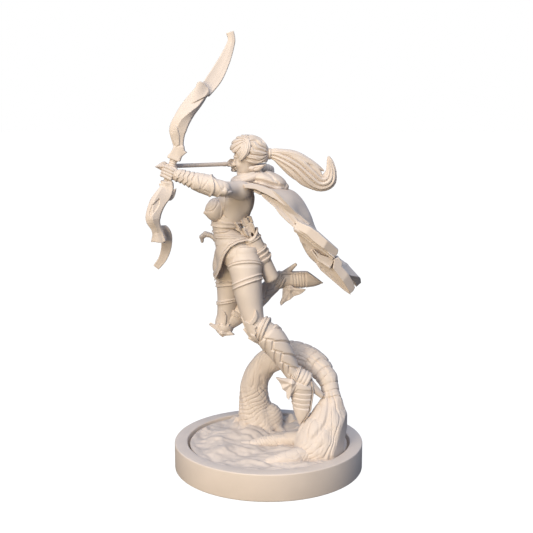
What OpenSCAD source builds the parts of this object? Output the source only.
// Tabletop miniature: an archer leaping off a gnarled root hand, on a round lipped base.
// Millimetres, +Z up, origin at the centre of the base's underside. The archer aims along -X.
// Limbs are swept tubes between joint points. Pieces that would cross are cut back by their neighbours.

/* [Base] */
// Outside diameter of the lipped base
base_d = 25; // [24.5:0.5:32]
// Height of the lipped base
base_h = 3.5; // [3.2:0.1:4]
// Width of the lip round the recess
lip_w = 1.7; // [1.2:0.1:1.7]
// Thickness of the floor under the recess
floor_t = 1; // [0.8:0.1:1]
// Gap round the drop-in ground disc
disc_gap = 0.3; // [0.2:0.05:0.4]
// Chamfer on the lip and foot edges
edge_c = 0.12; // [0.05:0.01:0.2]

/* [Fits] */
// Radius of the alignment pegs
peg_r = 0.4; // [0.3:0.05:0.45]
// Radial clearance of a peg in its socket
peg_gap = 0.05; // [0.03:0.01:0.1]
// Hairline gap left between neighbouring castings
seam = 0.04; // [0.03:0.01:0.06]

/* [Weapons] */
// Radius of the arrow shafts
shaft_r = 0.26; // [0.2:0.02:0.3]
// Radius of the bow grip
grip_r = 0.5; // [0.4:0.02:0.55]
// Radius of the quiver's mouth
quiver_r = 1.25; // [1.1:0.05:1.3]
// Thickness of the cape
cape_t = 0.7; // [0.5:0.05:0.8]

/* [Hidden] */

resin = [0.87, 0.79, 0.7];
deep = [0.78, 0.7, 0.62];
far = 60;                     // larger than the whole miniature
recess_r = base_d / 2 - lip_w;
disc_r = recess_r - disc_gap;
ground_z = floor_t + 1.5;     // top of the drop-in disc

// Joint points of the body
pelvis_c = [-4.0, 0, 28.3];
waist_c = [-5.5, 0, 31.8];
chest_c = [-4.25, 0, 35.3];
neck_c = [-3.2, 0.1, 37.7];
head_c = [-2.5, 0.35, 41.2];
left_hip = [-3.0, -2.1, 28.1];
left_knee = [-1.2, -3.05, 19.3];
left_ankle = [3.6, -2.75, 12.7];
left_toe = [4.15, -3.4, 7.0];
right_hip = [-4.9, 2.2, 28.0];
right_knee = [-5.8, 2.65, 18.7];
right_ankle = [0.7, 3.05, 24.0];
right_toe = [7.1, 3.4, 24.1];
left_shoulder = [-3.6, -3.3, 36.9];
left_elbow = [-5.9, -6.5, 37.5];
left_wrist = [-10.7, -5.9, 39.1];
fist_c = [-11.9, -5.5, 39.3];
right_shoulder = [-2.9, 3.2, 36.9];
right_elbow = [0.9, 5.3, 39.2];
right_wrist = [-2.4, 3.1, 39.5];
draw_hand_c = [-3.7, 2.45, 39.6];
grip_low = [-12.5, -5.7, 37.6];
grip_top = [-11.4, -5.3, 41.2];
arrow_nock = [-4.0, 2.25, 40.0];
arrow_tip = [-13.7, -6.0, 40.1];
quiver_top = [-2.5, -1.5, 31.3];
quiver_end = [0.1, -0.7, 25.7];

// Neck, from inside the torso to inside the head
neck_low = [-3.5, 0.05, 36.6];
neck_high = [-2.75, 0.3, 39.3];
neck_dir = (neck_high - neck_low) / norm(neck_high - neck_low);

// Vector helpers
function unit(v) = v / norm(v);
function mix(a, b, t) = a + (b - a) * t;
function dir(s, i) = unit(s[min(i + 1, len(s) - 1)][0] - s[max(i - 1, 0)][0]);
// Stations [point, radius in the bend plane, radius across it] from joint a to joint b
function bone(a, b, radii, bulge = [0, 0, 0]) = [for (i = [0:len(radii) - 1])
    let (t = i / (len(radii) - 1)) [mix(a, b, t) + bulge * sin(180 * t), radii[i][0], radii[i][1]]];

// Closed tube through the stations. across is the direction that the second radius lies along.
module tube(s, across = [0, 1, 0], grow = 0, sides = 14) {
    n = len(s);
    points = [for (i = [0:n - 1])
        let (t = dir(s, i), u = unit(cross(across, t)), v = cross(t, u))
        for (k = [0:sides - 1]) s[i][0]
            + u * (s[i][1] + grow) * cos(360 * k / sides)
            + v * (s[i][2] + grow) * sin(360 * k / sides)];
    walls = [for (i = [0:n - 2], k = [0:sides - 1])
        let (a = i * sides + k, b = i * sides + (k + 1) % sides)
        each [[a, a + sides, b], [b, a + sides, b + sides]]];
    low = [for (k = [1:sides - 2]) [0, k, k + 1]];
    high = [for (k = [1:sides - 2]) [0, k + 1, k] + (n - 1) * sides * [1, 1, 1]];
    polyhedron(concat(points, [[0, 0, 0]]), concat(walls, low, high), convexity = 6);
}

// Cylinder or cone from p to q
module rod(p, q, r1, r2 = -1, sides = 32) {
    d = q - p;
    translate(p)
        rotate([0, acos(d[2] / norm(d)), atan2(d[1], d[0])])
            cylinder(h = norm(d), r1 = r1, r2 = r2 < 0 ? r1 : r2, $fn = sides);
}

// Alignment peg at p, pointing along d, and the socket that it goes in
module peg(p, d, l = 0.9) {
    rod(p - unit(d) * 0.6, p + unit(d) * l, peg_r);
}
module socket(p, d, l = 0.9) {
    rod(p - unit(d) * 0.3, p + unit(d) * (l + 0.1), peg_r + peg_gap);
}

// Flat plate of an outline drawn in the X-Z plane, of thickness t, centred on y
module side_plate(outline, y, t) {
    translate([0, y + t / 2, 0]) rotate([90, 0, 0]) linear_extrude(t) polygon(outline);
}

module above(z) {
    translate([-far, -far, z]) cube([2 * far, 2 * far, far]);
}

// --- Base and ground -------------------------------------------------------

module base_ring() {
    r = base_d / 2;
    color(resin) rotate_extrude($fn = 96) polygon([
        [0, 0], [r - edge_c, 0], [r, edge_c], [r, base_h - edge_c], [r - edge_c, base_h],
        [recess_r + edge_c, base_h], [recess_r, base_h - edge_c], [recess_r, floor_t], [0, floor_t]]);
}

mounds = [[-6, 2.5, 1.2, 3.2], [-5, -3.5, 0.9, 3.6], [1, -1.5, 0.8, 2.8], [-2.2, 3.4, 1.1, 2.4],
    [5, 4, 0.9, 3.2], [-8, -1, 0.7, 2], [8, 1.5, 0.8, 2]];   // x, y, height, footprint radius

module mound(m) {
    ball = (m[3] * m[3] + m[2] * m[2]) / (2 * m[2]);
    translate([m[0], m[1], ground_z + m[2] - ball]) sphere(r = ball, $fn = 48);
}

// The solid is cut back by what stands on it, so that each foot has its own seat
module ground_disc() {
    color(deep) difference() {
        union() {
            translate([0, 0, floor_t]) cylinder(h = ground_z - floor_t, r = disc_r, $fn = 96);
            intersection() {
                union() for (m = mounds) mound(m);
                translate([0, 0, floor_t + 0.5]) cylinder(h = 5, r = disc_r - 0.1, $fn = 96);
            }
        }
        root_cut();
        socket([riser[0][0][0], riser[0][0][1], ground_z], [0, 0, -1], 0.8);
        socket([root_foot[0], root_foot[1], ground_z], [0, 0, -1], 0.8);
    }
}
module root_cut() {
    intersection() {
        union() {
            tube(riser, grow = seam);
            tube(hand, grow = seam);
            tube(finger_rear, grow = seam, sides = 10);
            tube(finger_front, grow = seam, sides = 10);
            tube(claw_of(finger_rear), grow = seam, sides = 10);
            tube(claw_of(finger_front), grow = seam, sides = 10);
        }
        above(ground_z);
    }
}

rocks = [[-3.4, 8.2, 1.1], [3.4, 8.1, 1.3], [8.3, 4.0, 0.8], [-8.8, 3.2, 0.7]];   // x, y, size
module ground_rocks() {
    color(deep) for (k = rocks) difference() {
        translate([k[0], k[1], ground_z + seam]) intersection() {
            rotate([0, 0, 40 * k[2]]) cylinder(h = k[2], r1 = k[2], r2 = 0.55 * k[2], $fn = 7);
            rotate([12, 10, 0]) cube(1.7 * k[2], center = true);
        }
        tube(riser, grow = seam);
        tube(hand, grow = seam);
        for (m = mounds) mound(m);
    }
}

// --- The root hand ---------------------------------------------------------

riser = [[[-0.9, 6.3, 1.6], 2.9, 2.6], [[-0.9, 6.4, 3.4], 2.7, 2.4], [[-1.2, 6.4, 6.0], 1.95, 1.9],
    [[-1.3, 6.1, 8.8], 1.6, 1.6], [[-0.8, 5.5, 11.4], 1.65, 1.65], [[1.0, 4.5, 13.3], 1.7, 1.7]];
crown = [[[1.0, 4.5, 13.3], 1.7, 1.7], [[3.3, 3.2, 14.1], 1.8, 1.8], [[5.4, 1.9, 13.9], 1.75, 1.75],
    [[7.0, 0.7, 12.9], 1.65, 1.65], [[7.9, -0.4, 11.6], 1.35, 1.35]];
hand = [[[7.9, -0.4, 11.6], 1.35, 1.35], [[8.2, -1.3, 10.4], 1.05, 1.1], [[8.1, -2.2, 8.6], 1.75, 1.5],
    [[7.5, -3.2, 6.4], 2.5, 2.0], [[6.7, -4.1, 4.4], 2.9, 2.3], [[6.2, -4.5, 1.6], 2.7, 2.1]];
root_foot = [6.3, -4.4];
finger_rear = [[[5.2, -1.6, 3.4], 1.0, 1.0], [[3.2, -0.4, 3.6], 0.95, 0.95], [[1.2, -0.1, 3.5], 0.8, 0.85],
    [[-1.0, -0.3, 3.2], 0.85, 0.8], [[-3.0, -0.6, 3.0], 0.6, 0.6]];
finger_front = [[[5.0, -6.2, 3.4], 0.9, 0.9], [[3.2, -6.6, 3.5], 0.9, 0.9], [[1.4, -7.0, 3.3], 0.8, 0.8],
    [[-0.6, -7.5, 3.0], 0.6, 0.6]];
function claw_of(f) = let (p = f[len(f) - 1][0], d = unit(p - f[len(f) - 2][0]))
    [[p - d * 0.35, 0.5, 0.5], [p + d * 1.0, 0.42, 0.42], [p + d * 2.1 - [0, 0, 0.15], 0.08, 0.08]];

module root_riser() {
    color(resin) difference() {
        union() {
            intersection() {
                tube(riser);
                above(ground_z + seam);
            }
            peg([riser[0][0][0], riser[0][0][1], ground_z + 0.65], [0, 0, -1], 1.4);
        }
        socket(crown[0][0], crown[0][0] - crown[1][0], 0.9);
        tube(crown, grow = seam);
    }
}
module root_crown() {
    color(resin) difference() {
        union() {
            tube(crown);
            peg(crown[0][0], crown[0][0] - crown[1][0]);
            peg(hand[0][0], hand[1][0] - hand[0][0], 0.7);
        }
        boot_and_heel_cut();
    }
}
module root_hand() {
    color(resin) difference() {
        union() {
            intersection() {
                tube(hand);
                above(ground_z + seam);
            }
            peg([root_foot[0], root_foot[1], ground_z + 0.65], [0, 0, -1], 1.4);
        }
        tube(crown, grow = seam);
        socket(hand[0][0], hand[1][0] - hand[0][0], 0.7);
        boot_and_heel_cut();
        socket(sole_point, sole_dir, 1.1);
    }
}
module boot_and_heel_cut() {
    tube(left_boot_s, grow = seam);
    left_heel_shape(seam);
    for (o = left_wing) side_plate(o, left_toe[1] - 0.5, 0.5 + seam);
}
module root_finger_rear() {
    color(resin) difference() {
        tube(finger_rear, sides = 10);
        tube(hand, grow = seam);
        ground_cut();
        tube(claw_of(finger_rear), grow = seam, sides = 10);
    }
}
module root_finger_front() {
    color(resin) difference() {
        tube(finger_front, sides = 10);
        tube(hand, grow = seam);
        ground_cut();
        tube(claw_of(finger_front), grow = seam, sides = 10);
    }
}
module root_claws() {
    color(deep) for (f = [finger_rear, finger_front]) difference() {
        tube(claw_of(f), sides = 10);
        ground_cut();
    }
}
// Everything below the disc's top face is ground
module ground_cut() {
    translate([-far, -far, ground_z + seam - far]) cube([2 * far, 2 * far, far]);
}

// --- Legs ------------------------------------------------------------------

left_thigh_s = bone(left_hip, left_knee,
    [[2.0, 1.7], [2.35, 2.1], [2.15, 2.0], [1.9, 1.85], [1.6, 1.6], [1.35, 1.4]], [-0.35, -0.1, 0]);
left_greave_s = bone(left_knee + [0.25, 0, -0.1], left_ankle,
    [[1.5, 1.45], [1.85, 1.7], [1.7, 1.6], [1.3, 1.3], [1.05, 1.05]], [0.15, 0, 0.1]);
left_boot_s = [[left_ankle, 1.15, 1.1], [[4.2, -2.8, 11.6], 1.4, 1.15], [[4.35, -2.95, 10.2], 1.25, 1.0],
    [[4.35, -3.15, 8.8], 1.1, 0.95], [[4.2, -3.3, 7.7], 0.7, 0.65], [left_toe, 0.12, 0.12]];
right_thigh_s = bone(right_hip, right_knee,
    [[2.0, 1.7], [2.2, 2.0], [2.0, 1.9], [1.75, 1.75], [1.5, 1.5], [1.3, 1.35]], [0.1, 0.1, 0]);
right_greave_s = bone(right_knee + [0.3, 0.05, 0.3], right_ankle,
    [[1.4, 1.35], [1.6, 1.5], [1.45, 1.4], [1.2, 1.2], [1.0, 1.0]], [0.1, 0, -0.15]);
right_boot_s = [[right_ankle, 1.1, 1.1], [[2.2, 3.1, 24.5], 1.3, 1.1], [[3.7, 3.2, 24.6], 1.2, 1.0],
    [[5.1, 3.3, 24.5], 1.05, 0.95], [[6.2, 3.35, 24.3], 0.7, 0.65], [right_toe, 0.12, 0.12]];

module thigh_cuts() {
    quiver_solid(seam);
}
module left_thigh() {
    color(resin) difference() {
        union() {
            tube(left_thigh_s);
            peg(left_knee + [-0.1, 0, 0.1], left_ankle - left_knee, 0.8);
        }
        tube(pelvis_core, grow = seam, sides = 18);
        tube(right_thigh_s, grow = seam);
        socket(left_hip + [0, 0.1, -0.9], left_knee - left_hip, 0.9);
        thigh_cuts();
    }
}
module left_greave() {
    color(resin) difference() {
        union() {
            tube(left_greave_s);
            peg(left_ankle, left_ankle - left_knee, 0.8);
        }
        tube(left_thigh_s, grow = seam);
        socket(left_knee + [-0.1, 0, 0.1], left_ankle - left_knee, 0.8);
    }
}
// Flat ring round a limb, cut out by the limb itself
module cuff(c, d, r, w) {
    rod(c - unit(d) * w / 2, c + unit(d) * w / 2, r, r, 48);
}
module left_greave_cuff() {
    color(resin) difference() {
        cuff(left_knee + [0.8, 0, -0.7], [0.75, 0, -0.66], 2.2, 0.9);
        tube(left_thigh_s, grow = seam);
        tube(left_greave_s, grow = seam);
        left_knee_guard_shape(seam);
    }
}
module left_knee_guard_shape(grow) {
    tube([[[-3.4, -3.3, 20.8], 0.12, 0.3], [[-3.0, -3.3, 19.9], 0.4, 0.8], [[-2.35, -3.2, 18.9], 0.5, 1.0],
        [[-1.4, -3.1, 18.0], 0.35, 0.7], [[-0.8, -3.0, 17.5], 0.12, 0.3]], grow = grow, sides = 10);
}
module left_knee_guard() {
    color(resin) difference() {
        left_knee_guard_shape(0);
        tube(left_thigh_s, grow = seam);
        tube(left_greave_s, grow = seam);
    }
}
sole_point = [6.0, -2.95, 8.6];
sole_dir = [1, 0.3, -0.2];
module left_boot() {
    color(resin) difference() {
        union() {
            tube(left_boot_s);
            peg(sole_point, sole_dir, 1.1);
        }
        tube(left_greave_s, grow = seam);
        socket(left_ankle, left_ankle - left_knee, 0.8);
        left_heel_shape(seam);
    }
}
module left_heel_shape(grow) {
    rod([5.2, -2.65, 12.2], [6.9, -2.3, 10.3], 0.55 + grow, 0.32 + grow, 24);
}
module left_heel() {
    color(resin) difference() {
        left_heel_shape(0);
        tube(left_greave_s, grow = seam);
    }
}
// Two leaves on the outer side of the ankle
left_wing = [[[0.7, 12.4], [2.2, 12.5], [4.2, 12.4], [4.6, 11.6], [3.2, 11.2], [1.9, 11.3]],
    [[2.5, 9.7], [3.3, 10.6], [4.6, 11.5], [3.9, 12.1], [2.6, 11.1], [2.3, 10.4]]];
module left_boot_wing() {
    color(resin) difference() {
        side_plate(left_wing[0], left_toe[1] - 0.85, 0.4);
        tube(left_boot_s, grow = seam);
        tube(left_greave_s, grow = seam);
    }
    color(resin) difference() {
        side_plate(left_wing[1], left_toe[1] - 0.85, 0.4);
        side_plate(left_wing[0], left_toe[1] - 0.85, 0.5);
        tube(left_boot_s, grow = seam);
        tube(left_greave_s, grow = seam);
    }
}

module right_thigh() {
    color(resin) difference() {
        union() {
            tube(right_thigh_s);
            peg(right_knee + [0.1, 0, 0.4], right_ankle - right_knee, 1.4);
        }
        tube(pelvis_core, grow = seam, sides = 18);
        socket(right_hip + [0, 0, -0.9], right_knee - right_hip, 0.9);
        thigh_cuts();
    }
}
module right_greave() {
    color(resin) difference() {
        union() {
            tube(right_greave_s);
            peg(right_ankle, right_ankle - right_knee, 0.8);
        }
        tube(right_thigh_s, grow = seam);
        socket(right_knee + [0.1, 0, 0.4], right_ankle - right_knee, 1.4);
        tube(left_thigh_s, grow = seam);
    }
}
module right_greave_cuff() {
    color(resin) difference() {
        cuff(right_knee + [1.7, 0.1, 1.4], right_ankle - right_knee, 1.85, 0.9);
        tube(right_thigh_s, grow = seam);
        tube(right_greave_s, grow = seam);
        tube(left_thigh_s, grow = seam);
    }
}
module right_knee_guard_shape() {
    tube([[[-6.6, 2.6, 21.2], 0.12, 0.3], [[-7.0, 2.6, 19.8], 0.35, 0.8], [[-6.9, 2.6, 18.4], 0.45, 1.0],
        [[-6.2, 2.7, 17.4], 0.4, 0.9], [[-5.0, 2.7, 17.2], 0.12, 0.3]], sides = 10);
}
module right_knee_guard() {
    color(resin) difference() {
        right_knee_guard_shape();
        tube(right_thigh_s, grow = seam);
        tube(right_greave_s, grow = seam);
    }
}
module right_boot() {
    color(resin) difference() {
        tube(right_boot_s);
        tube(right_greave_s, grow = seam);
        socket(right_ankle, right_ankle - right_knee, 0.8);
        right_heel_shape(seam);
        quiver_solid(seam);
    }
}
module right_heel_shape(grow) {
    rod([2.0, 3.1, 25.3], [3.6, 3.0, 27.0], 0.55 + grow, 0.32 + grow, 24);
}
module right_heel() {
    color(resin) difference() {
        right_heel_shape(0);
        tube(right_greave_s, grow = seam);
        quiver_solid(seam);
    }
}
right_wing = [[[1.6, 21.4], [2.5, 22.6], [3.4, 23.6], [2.6, 24.1], [1.8, 23.0]],
    [[4.6, 22.7], [3.9, 23.7], [2.9, 24.2], [2.6, 23.4], [3.6, 22.9]]];
module right_boot_wing() {
    color(resin) difference() {
        union() for (o = right_wing) side_plate(o, 2.05, 0.4);
        tube(right_boot_s, grow = seam);
        tube(right_greave_s, grow = seam);
    }
}

// --- Trunk -----------------------------------------------------------------

pelvis_core = [[[-4.2, 0, 26.0], 1.2, 2.0], [[-4.0, 0, 27.2], 2.2, 3.0], [[-4.0, 0, 28.6], 2.6, 3.4],
    [[-4.4, 0, 29.8], 2.3, 3.1], [[-4.9, 0, 30.7], 1.85, 2.6]];
waist_core = [[[-4.9, 0, 30.7], 1.85, 2.6], [[-5.5, 0, 31.8], 1.72, 2.35], [[-5.45, 0, 32.8], 1.75, 2.35],
    [[-5.2, 0, 33.5], 1.7, 2.3]];
torso_core = [[[-5.5, 0, 32.8], 1.75, 2.35], [[-4.9, 0, 34.0], 2.15, 2.75], [[-4.3, 0, 35.3], 2.3, 3.05],
    [[-3.8, 0, 36.5], 2.0, 3.1], [[-3.4, 0, 37.3], 1.3, 2.3]];

module pelvis() {
    color(resin) difference() {
        union() {
            tube(pelvis_core, sides = 18);
            peg(left_hip + [0, 0.1, -0.9], left_knee - left_hip);
            peg(right_hip + [0, 0, -0.9], right_knee - right_hip);
        }
        quiver_solid(seam);
        tube(waist_core, grow = seam, sides = 18);
        socket(waist_core[0][0], pelvis_c - waist_c, 0.9);
    }
}
skirt_outline = [[-0.6, 30.6], [-1.0, 29.9], [-3.0, 29.3], [-4.6, 27.8], [-5.4, 25.6], [-6.4, 24.0],
    [-8.2, 24.6], [-7.9, 27.5], [-7.0, 30.6]];
skirt_t = 0.45;
module skirt() {
    color(resin) difference() {
        intersection() {
            union() {
                tube(pelvis_core, grow = skirt_t, sides = 18);
                tube(left_thigh_s, grow = skirt_t);
                tube(right_thigh_s, grow = skirt_t);
            }
            side_plate(skirt_outline, 0, 12);
        }
        tube(pelvis_core, grow = seam, sides = 18);
        tube(left_thigh_s, grow = seam);
        tube(right_thigh_s, grow = seam);
        tube(waist_core, grow = seam, sides = 18);
        quiver_solid(seam);
        dagger_scabbard_shape(seam);
    }
}
module waist() {
    color(resin) difference() {
        union() {
            tube(waist_core, sides = 18);
            peg(waist_core[0][0], pelvis_c - waist_c);
            peg(waist_core[3][0], chest_c - waist_c);
        }
        quiver_solid(seam);
    }
}
wraps = [[[[-5.1, 0, 31.1], 2.15, 2.85], [[-5.35, 0, 31.65], 2.08, 2.75]],
    [[[-5.45, 0, 31.95], 2.06, 2.7], [[-5.5, 0, 32.5], 2.06, 2.7]]];
module waist_wraps() {
    color(resin) for (w = wraps) difference() {
        tube(w, sides = 18);
        tube(waist_core, grow = seam, sides = 18);
        tube(torso_core, grow = seam, sides = 18);
        quiver_solid(seam);
        dagger_hilt_shape(seam);
    }
}
module torso() {
    color(resin) difference() {
        union() {
            tube(torso_core, sides = 18);
            rod(neck_low, neck_high, 0.85, 0.75);
            peg(neck_high, neck_dir, 0.9);
        }
        tube(waist_core, grow = seam, sides = 18);
        socket(waist_core[3][0], chest_c - waist_c, 0.9);
        socket([-3.6, -2.7, 36.7], [0, 1, 0], 0.9);
        socket([-3.0, 2.6, 36.7], [0, -1, 0], 0.9);
        tube(left_upper_arm_s, grow = seam, across = [0, 0, 1]);
        tube(right_upper_arm_s, grow = seam, across = [0, 0, 1]);
        quiver_solid(seam);
    }
}
module bodice_cups() {
    color(resin) for (y = [-1.5, 1.5]) difference() {
        hull() {
            translate([-6.45, y, 34.5]) sphere(r = 1.3, $fn = 24);
            translate([-8.0, y * 1.05, 34.3]) sphere(r = 0.08, $fn = 16);
        }
        tube(torso_core, grow = seam, sides = 18);
        tube(waist_core, grow = seam, sides = 18);
        if (y > 0) translate([-far, -far, 0]) cube([2 * far, far + seam, far]);
        if (y < 0) translate([-far, -seam, 0]) cube([2 * far, far, far]);
    }
}

// --- Arms ------------------------------------------------------------------

left_upper_arm_s = bone(left_shoulder, left_elbow, [[1.05, 1.05], [1.1, 1.1], [1.0, 1.0], [0.9, 0.9]]);
left_bracer_s = bone(left_elbow + [0.2, 0.15, -0.05], left_wrist, [[1.2, 1.2], [1.2, 1.15], [0.95, 0.95], [0.7, 0.7]]);
right_upper_arm_s = bone(right_shoulder, right_elbow, [[1.05, 1.05], [1.05, 1.05], [0.95, 0.95], [0.85, 0.85]]);
right_bracer_s = bone(right_elbow, right_wrist, [[1.0, 1.0], [1.0, 1.0], [0.8, 0.8], [0.6, 0.6]]);
fist_in = unit(fist_c - left_wrist);

module left_upper_arm() {
    color(resin) difference() {
        union() {
            tube(left_upper_arm_s, across = [0, 0, 1]);
            peg([-3.6, -2.7, 36.7], [0, 1, 0], 0.9);
        }
        tube(left_bracer_s, grow = seam, across = [0, 0, 1]);
        socket(left_elbow, left_shoulder - left_elbow, 0.9);
        neck_cut();
    }
}
module left_bracer() {
    color(resin) difference() {
        union() {
            tube(left_bracer_s, across = [0, 0, 1]);
            peg(left_elbow, left_shoulder - left_elbow, 0.9);
        }
        socket(left_wrist, left_elbow - left_wrist, 0.7);
    }
}
module left_cuff() {
    color(resin) difference() {
        cuff(left_wrist - fist_in * 0.15, fist_in, 1.0, 0.35);
        tube(left_bracer_s, grow = seam, across = [0, 0, 1]);
        tube(left_hand_s, grow = seam, across = [0, 0, 1], sides = 12);
        rod(left_wrist - fist_in, left_wrist + fist_in, peg_r + peg_gap);
        rod(arrow_nock, arrow_tip, shaft_r + seam);
    }
}
left_hand_s = [[left_wrist, 0.5, 0.5], [left_wrist + fist_in * 0.4, 0.75, 0.6], [fist_c, 0.95, 0.85],
    [fist_c + fist_in * 0.7, 0.75, 0.7], [fist_c + fist_in * 0.95, 0.3, 0.4]];
module left_hand() {
    color(resin) difference() {
        union() {
            tube(left_hand_s, across = [0, 0, 1], sides = 12);
            peg(left_wrist + fist_in * 0.2, left_elbow - left_wrist, 0.9);
        }
        tube(left_bracer_fore, grow = seam, across = [0, 0, 1]);
        bow_grip_shape(peg_gap);
        rod(arrow_nock, arrow_tip, shaft_r + seam);
    }
}
left_bracer_fore = [left_bracer_s[2], left_bracer_s[3]];
module right_upper_arm() {
    color(resin) difference() {
        union() {
            tube(right_upper_arm_s, across = [0, 0, 1]);
            peg([-3.0, 2.6, 36.7], [0, -1, 0], 0.9);
        }
        tube(right_bracer_s, grow = seam, across = [0, 0, 1]);
        neck_cut();
        hood_collar_shape(seam);
        tube(hood_bag_s, grow = seam);
    }
}
module right_bracer() {
    color(resin) difference() {
        union() {
            tube(right_bracer_s, across = [0, 0, 1]);
            peg(right_wrist, draw_hand_c - right_wrist, 0.6);
        }
        head_and_hair_cut();
        hood_collar_shape(seam);
        tube(hood_bag_s, grow = seam);
        rod(arrow_nock, arrow_tip, shaft_r + seam);
        tube(right_hand_s, grow = seam, across = [0, 0, 1], sides = 12);
    }
}
right_hand_s = bone(right_wrist, draw_hand_c + [-0.9, -0.4, 0], [[0.5, 0.5], [0.75, 0.7], [0.75, 0.75], [0.6, 0.6], [0.25, 0.3]]);
module right_hand() {
    color(resin) difference() {
        tube(right_hand_s, across = [0, 0, 1], sides = 12);
        socket(right_wrist, draw_hand_c - right_wrist, 0.6);
        head_and_hair_cut();
        hood_collar_shape(seam);
        rod(arrow_nock + unit(arrow_nock - arrow_tip) * 0.3, arrow_tip, shaft_r + seam);
        for (k = [0:2]) vane(k, seam);
    }
}

// --- Head, hair and hood ---------------------------------------------------

head_s = [[[-3.85, 0.35, 38.75], 0.35, 0.35], [[-3.6, 0.35, 39.3], 0.95, 0.85], [[-3.15, 0.35, 40.2], 1.45, 1.2],
    [[-2.75, 0.35, 41.2], 1.75, 1.4], [[-2.4, 0.35, 42.3], 1.7, 1.35], [[-2.1, 0.35, 43.0], 1.0, 0.9],
    [[-2.0, 0.35, 43.25], 0.4, 0.4]];
hair_s = [[[-1.5, 0.35, 39.6], 0.8, 1.2], [[-1.35, 0.35, 40.3], 1.5, 1.75], [[-1.6, 0.35, 41.4], 2.1, 1.95],
    [[-2.1, 0.35, 42.5], 2.1, 1.8], [[-2.4, 0.35, 43.25], 1.55, 1.3], [[-2.5, 0.35, 43.6], 0.6, 0.6]];
module head() {
    color(resin) difference() {
        tube(head_s, sides = 16);
        socket(neck_high, neck_dir, 0.9);
        neck_cut();
    }
}
module ear_shape(side, grow) {
    c = head_c + [0.75, side * 1.15, -1.3];
    rod(c, c + [1.6, side * 0.75, 0.75], 0.42 + grow, 0.1 + grow, 20);
}
module ears() {
    color(resin) for (side = [-1, 1]) difference() {
        ear_shape(side, 0);
        tube(head_s, grow = seam, sides = 16);
        tube(hair_s, grow = seam, sides = 16);
        tube(right_bracer_s, grow = seam, across = [0, 0, 1]);
        hood_collar_shape(seam);
        tube(hood_bag_s, grow = seam);
    }
}
face_cut_x = -3.35;
module hair_cap() {
    color(deep) difference() {
        tube(hair_s, sides = 16);
        tube(head_s, grow = seam, sides = 16);
        translate([face_cut_x - far, -far / 2, 0]) cube([far, far, 42.9]);
        neck_cut();
        hood_collar_shape(seam);
        tie_shape(seam);
    }
}
fringe_s = [[[-3.2, -0.9, 43.0], 0.5, 0.5], [[-4.0, -0.7, 42.5], 0.55, 0.9], [[-4.35, -0.4, 41.9], 0.45, 1.0],
    [[-4.4, -0.3, 41.4], 0.2, 0.6]];
module hair_fringe() {
    color(deep) difference() {
        union() {
            tube(fringe_s, sides = 10);
            tube([[[-3.2, -1.0, 42.8], 0.5, 0.35], [[-3.3, -1.25, 41.6], 0.35, 0.3], [[-3.7, -1.2, 40.5], 0.15, 0.15]],
                sides = 10);
        }
        tube(head_s, grow = seam, sides = 16);
        tube(hair_s, grow = seam, sides = 16);
    }
}
module head_and_hair_cut() {
    tube(head_s, grow = seam, sides = 16);
    tube(hair_s, grow = seam, sides = 16);
    ear_shape(1, seam);
}
module tie_shape(grow) {
    rod([0.25 - grow, 0.35, 41.6], [0.8 + grow, 0.35, 41.7], 0.75 + grow, 0.75 + grow, 32);
}
module hair_tie() {
    color(deep) difference() {
        tie_shape(0);
        rod([0, 0.35, 41.6], [1, 0.35, 41.7], peg_r + peg_gap);
        tube(hair_s, grow = seam, sides = 16);
    }
}
pony_s = [[[1.0, 0.35, 41.65], 0.6, 0.55], [[2.0, 0.35, 41.5], 1.0, 0.8], [[3.6, 0.35, 40.7], 1.45, 1.0],
    [[5.2, 0.35, 39.2], 1.7, 1.0], [[6.5, 0.35, 38.3], 1.3, 0.9], [[7.5, 0.35, 38.5], 0.9, 0.7],
    [[7.9, 0.35, 39.6], 0.6, 0.5], [[7.75, 0.35, 41.0], 0.15, 0.15]];
module ponytail() {
    color(deep) difference() {
        union() {
            tube(pony_s, sides = 12);
            peg([0.9, 0.35, 41.65], [-1, 0, -0.1], 1.0);
        }
        tube(hair_s, grow = seam, sides = 16);
    }
}
hood_bag_s = [[[-1.7, 0, 38.3], 0.5, 1.6], [[-0.6, 0, 38.2], 1.05, 2.2], [[0.7, 0.05, 37.9], 1.15, 2.1],
    [[1.7, 0.1, 37.4], 0.9, 1.6], [[2.35, 0.1, 37.1], 0.3, 0.7]];
module hood_collar_shape(grow) {
    translate([-2.95, 0.1, 38.0]) rotate([0, 14, 0])
        rotate_extrude($fn = 48) translate([1.35, 0]) circle(r = 0.5 + grow, $fn = 24);
}
module hood_collar() {
    color(resin) difference() {
        hood_collar_shape(0);
        torso_cut();
        tube(head_s, grow = seam, sides = 16);
    }
}
module torso_cut() {
    tube(torso_core, grow = seam, sides = 18);
    neck_cut();
}
module neck_cut() {
    rod(neck_low, neck_high + neck_dir * seam, 0.85 + seam, 0.75 + seam);
}
module hood_bag() {
    color(resin) difference() {
        tube(hood_bag_s);
        torso_cut();
        hood_collar_shape(seam);
        tube(hair_s, grow = seam, sides = 16);
    }
}

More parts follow.
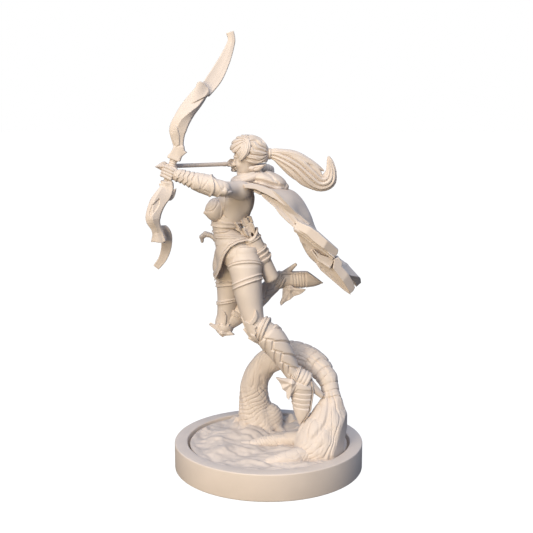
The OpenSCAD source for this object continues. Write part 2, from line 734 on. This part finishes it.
// The cape's near edge, ridge and far edge, from the shoulders to the hem
cape_near = [[-3.0, -3.4, 37.9], [-0.8, -4.3, 37.0], [1.6, -4.8, 35.6], [3.6, -5.0, 33.6], [5.2, -5.0, 31.6],
    [6.9, -5.0, 29.4], [8.7, -4.9, 27.2], [10.6, -4.6, 24.8]];
cape_ridge = [[-1.9, 0.0, 37.2], [0.4, 0.1, 36.4], [2.9, 0.2, 36.1], [4.9, 0.3, 34.4], [6.0, 0.4, 32.5],
    [7.2, 0.4, 30.3], [9.0, 0.4, 27.8], [11.3, 0.4, 25.0]];
cape_far = [[-2.6, 3.4, 37.8], [-0.2, 4.6, 36.9], [2.4, 5.3, 35.6], [4.6, 5.6, 33.8], [6.4, 5.8, 31.6],
    [8.2, 5.7, 29.3], [10.4, 5.2, 26.6], [12.5, 4.6, 23.8]];
function cape_point(i, v) = let (w0 = (1 - v) * (1 - 2 * v), w1 = 4 * v * (1 - v), w2 = v * (2 * v - 1))
    cape_near[i] * w0 + cape_ridge[i] * w1 + cape_far[i] * w2;
module cape_shape(grow, thickness) {
    rows = len(cape_near);
    cols = 7;
    grid = [for (i = [0:rows - 1], k = [0:cols - 1]) cape_point(i, k / (cols - 1))];
    down = unit([0.55, 0, 0.83]);
    top = [for (p = grid) p + down * (thickness / 2 + grow)];
    low = [for (p = grid) p - down * (thickness / 2 + grow)];
    m = rows * cols;
    sheet = [for (i = [0:rows - 2], k = [0:cols - 2])
        let (a = i * cols + k) each [[a, a + cols, a + 1], [a + 1, a + cols, a + cols + 1]]];
    under = [for (f = sheet) [f[0], f[2], f[1]] + [m, m, m]];
    rim = concat([for (k = [0:cols - 1]) k], [for (i = [1:rows - 1]) i * cols + cols - 1],
        [for (k = [1:cols - 1]) m - 1 - k], [for (i = [1:rows - 2]) (rows - 1 - i) * cols]);
    edge = [for (j = [0:len(rim) - 1]) let (a = rim[j], b = rim[(j + 1) % len(rim)])
        each [[a, b, a + m], [b, b + m, a + m]]];
    polyhedron(concat(top, low), concat(sheet, under, edge), convexity = 8);
}
module cape() {
    color(resin) difference() {
        cape_shape(0, cape_t);
        torso_cut();
        tube(left_upper_arm_s, grow = seam, across = [0, 0, 1]);
        tube(right_upper_arm_s, grow = seam, across = [0, 0, 1]);
        tube(hood_bag_s, grow = seam);
        hood_collar_shape(seam);
    }
}

// --- Bow, arrows, quiver and dagger ----------------------------------------

grip_dir = unit(grip_top - grip_low);
upper_sleeve_s = [[grip_top - grip_dir * 0.1, 0.85, 0.75], [[-10.9, -5.2, 43.0], 0.65, 0.55],
    [[-11.0, -5.5, 44.6], 0.85, 0.6], [[-10.3, -5.2, 46.1], 0.9, 0.6], [[-8.8, -4.2, 48.2], 0.95, 0.6],
    [[-7.75, -3.4, 49.4], 0.85, 0.6]];
upper_blade_s = [[[-7.95, -3.55, 49.2], 0.8, 0.3], [[-6.7, -2.7, 50.8], 0.95, 0.3], [[-5.5, -1.4, 52.8], 0.75, 0.28],
    [[-4.75, -0.6, 54.9], 0.5, 0.25], [[-4.8, -0.6, 56.5], 0.35, 0.2]];
lower_sleeve_s = [[grip_low + grip_dir * 0.1, 0.8, 0.75], [[-12.4, -6.3, 36.6], 0.75, 0.6],
    [[-13.5, -6.9, 35.4], 1.0, 0.65], [[-13.7, -7.0, 33.8], 1.0, 0.65], [[-13.2, -6.6, 32.6], 0.7, 0.6],
    [[-13.0, -6.1, 31.5], 0.85, 0.6]];
lower_blade_s = [[[-12.9, -5.9, 31.9], 0.3, 0.7], [[-12.3, -4.9, 31.5], 0.35, 0.8], [[-12.4, -4.2, 30.2], 0.55, 0.6],
    [[-12.9, -3.8, 29.0], 0.6, 0.5], [[-13.9, -3.6, 27.6], 0.4, 0.3]];
arrow_dir = unit(arrow_tip - arrow_nock);
grip_in = 0.7;               // how far the grip runs into each limb
head_l = 1.7;
vane_l = 1.5;

module bow_grip_shape(grow) {
    rod(grip_low - grip_dir * (grip_in + grow), grip_top + grip_dir * (grip_in + grow), grip_r + grow);
}
module bow_grip() {
    color(resin) difference() {
        bow_grip_shape(0);
        rod(arrow_nock, arrow_tip, shaft_r + seam);
    }
}
module bow_upper_sleeve() {
    color(resin) difference() {
        tube(upper_sleeve_s, sides = 8);
        bow_grip_shape(peg_gap);
        tube(upper_blade_s, grow = seam, sides = 8);
    }
}
module bow_upper_blade() {
    color(resin) tube(upper_blade_s, sides = 8);
}
module bow_lower_sleeve() {
    color(resin) difference() {
        tube(lower_sleeve_s, sides = 8);
        bow_grip_shape(peg_gap);
        tube(lower_blade_s, grow = seam, sides = 8);
    }
}
module bow_lower_blade() {
    color(resin) tube(lower_blade_s, sides = 8);
}
module arrow_shaft() {
    color(resin) difference() {
        rod(arrow_nock, arrow_tip - arrow_dir * (head_l - 0.5), shaft_r);
        for (k = [0:2]) vane(k, seam);
        arrow_head_shape(seam);
    }
}
module arrow_head_shape(grow) {
    rod(arrow_tip - arrow_dir * (head_l + grow), arrow_tip, 0.55 + grow, 0.05, 24);
}
module arrow_head() {
    color(deep) difference() {
        arrow_head_shape(0);
        tube(left_hand_s, grow = seam, across = [0, 0, 1], sides = 12);
        bow_grip_shape(seam);
    }
}
// One of three flat vanes round the shaft, k counted from the one that stands up
module vane(k, grow) {
    a = arrow_nock + arrow_dir * 0.35;
    side = unit(cross(arrow_dir, [0, 0, 1]));
    up = cross(side, arrow_dir);
    out = up * cos(120 * k) + side * sin(120 * k);
    flat = cross(arrow_dir, out);
    t = 0.08 + grow;
    corner = [a + out * 0.1, a + out * 0.62, a + out * 0.62 + arrow_dir * (vane_l - 0.4),
        a + out * 0.1 + arrow_dir * vane_l];
    polyhedron(concat([for (p = corner) p + flat * t], [for (p = corner) p - flat * t]),
        [[0, 1, 2, 3], [7, 6, 5, 4], [0, 4, 5, 1], [1, 5, 6, 2], [2, 6, 7, 3], [3, 7, 4, 0]]);
}
module arrow_fletching() {
    color(deep) for (k = [0:2]) difference() {
        vane(k, 0);
        rod(arrow_nock, arrow_tip, 0.18);
        head_and_hair_cut();
    }
}

quiver_dir = unit(quiver_end - quiver_top);
quiver_len = norm(quiver_end - quiver_top);
quiver_low_r = 0.75 * quiver_r;
// The space that the quiver, its bands and its arrows take up
module quiver_solid(grow) {
    w = 2 * band_r + 0.05 + grow;
    rod(quiver_top - quiver_dir * grow, quiver_end + quiver_dir * grow, quiver_r + w, quiver_low_r + w);
    rod(quiver_top - quiver_dir * 4, quiver_top, quiver_r - 0.25 + grow);
}
module quiver_tube() {
    color(resin) difference() {
        rod(quiver_top, quiver_end, quiver_r, quiver_low_r, 48);
        rod(quiver_top - quiver_dir, quiver_top + quiver_dir * 1.2, quiver_r - 0.25, sides = 48);
    }
}
band_places = [0.07, 0.36, 0.5, 0.64];
band_r = 0.17;
module band(t, grow) {
    c = quiver_top + quiver_dir * quiver_len * t;
    r = mix(quiver_r, quiver_low_r, t);
    translate(c) rotate([0, acos(quiver_dir[2]), atan2(quiver_dir[1], quiver_dir[0])])
        rotate_extrude($fn = 48) translate([r + band_r + seam, 0]) circle(r = band_r + grow, $fn = 20);
}
module quiver_bands() {
    color(deep) for (t = band_places) band(t, 0);
}
quiver_arrow_axes = [for (k = [0:4]) let (r = k == 0 ? 0 : 0.6, a = 45 + 90 * k)
    quiver_top + [-0.75 * cos(a) * r, sin(a) * r, -0.45 * cos(a) * r] + quiver_dir * 1.1];
module arrow_end(p, grow) {
    q = p - quiver_dir * (3.2 + (p[1] - quiver_top[1]) * 0.6);
    rod(p, q, 0.2 + grow, 0.2 + grow, 16);
}
module quiver_arrows() {
    color(deep) for (a = quiver_arrow_axes) arrow_end(a, 0);
}

hilt_s = [[[-7.1, 2.3, 30.3], 0.3, 0.3], [[-7.9, 2.7, 30.7], 0.3, 0.3], [[-8.6, 3.0, 30.7], 0.32, 0.3],
    [[-9.0, 3.1, 30.2], 0.33, 0.3], [[-8.9, 3.1, 29.6], 0.2, 0.2]];
module dagger_hilt_shape(grow) {
    tube(hilt_s, grow = grow, sides = 10);
}
module dagger_hilt() {
    color(deep) difference() {
        dagger_hilt_shape(0);
        tube(pelvis_core, grow = seam, sides = 18);
        tube(waist_core, grow = seam, sides = 18);
        dagger_scabbard_shape(seam);
    }
}
scabbard_s = [[[-6.9, 2.6, 30.1], 0.35, 0.3], [[-5.4, 4.1, 28.6], 0.5, 0.3], [[-3.4, 4.7, 26.8], 0.42, 0.25],
    [[-1.6, 4.9, 25.2], 0.15, 0.12]];
module dagger_scabbard_shape(grow) {
    tube(scabbard_s, grow = grow, sides = 10);
}
module dagger_scabbard() {
    color(deep) difference() {
        dagger_scabbard_shape(0);
        tube(pelvis_core, grow = seam, sides = 18);
        tube(waist_core, grow = seam, sides = 18);
        tube(right_thigh_s, grow = seam);
    }
}

base_ring();
ground_disc();
ground_rocks();
root_riser();
root_crown();
root_hand();
root_finger_rear();
root_finger_front();
root_claws();
pelvis();
skirt();
waist();
waist_wraps();
torso();
bodice_cups();
left_thigh();
left_greave();
left_greave_cuff();
left_knee_guard();
left_boot();
left_heel();
left_boot_wing();
right_thigh();
right_greave();
right_greave_cuff();
right_knee_guard();
right_boot();
right_heel();
right_boot_wing();
left_upper_arm();
left_bracer();
left_cuff();
left_hand();
right_upper_arm();
right_bracer();
right_hand();
head();
ears();
hair_cap();
hair_fringe();
hair_tie();
ponytail();
hood_collar();
hood_bag();
cape();
bow_grip();
bow_upper_sleeve();
bow_upper_blade();
bow_lower_sleeve();
bow_lower_blade();
arrow_shaft();
arrow_head();
arrow_fletching();
quiver_tube();
quiver_bands();
quiver_arrows();
dagger_hilt();
dagger_scabbard();
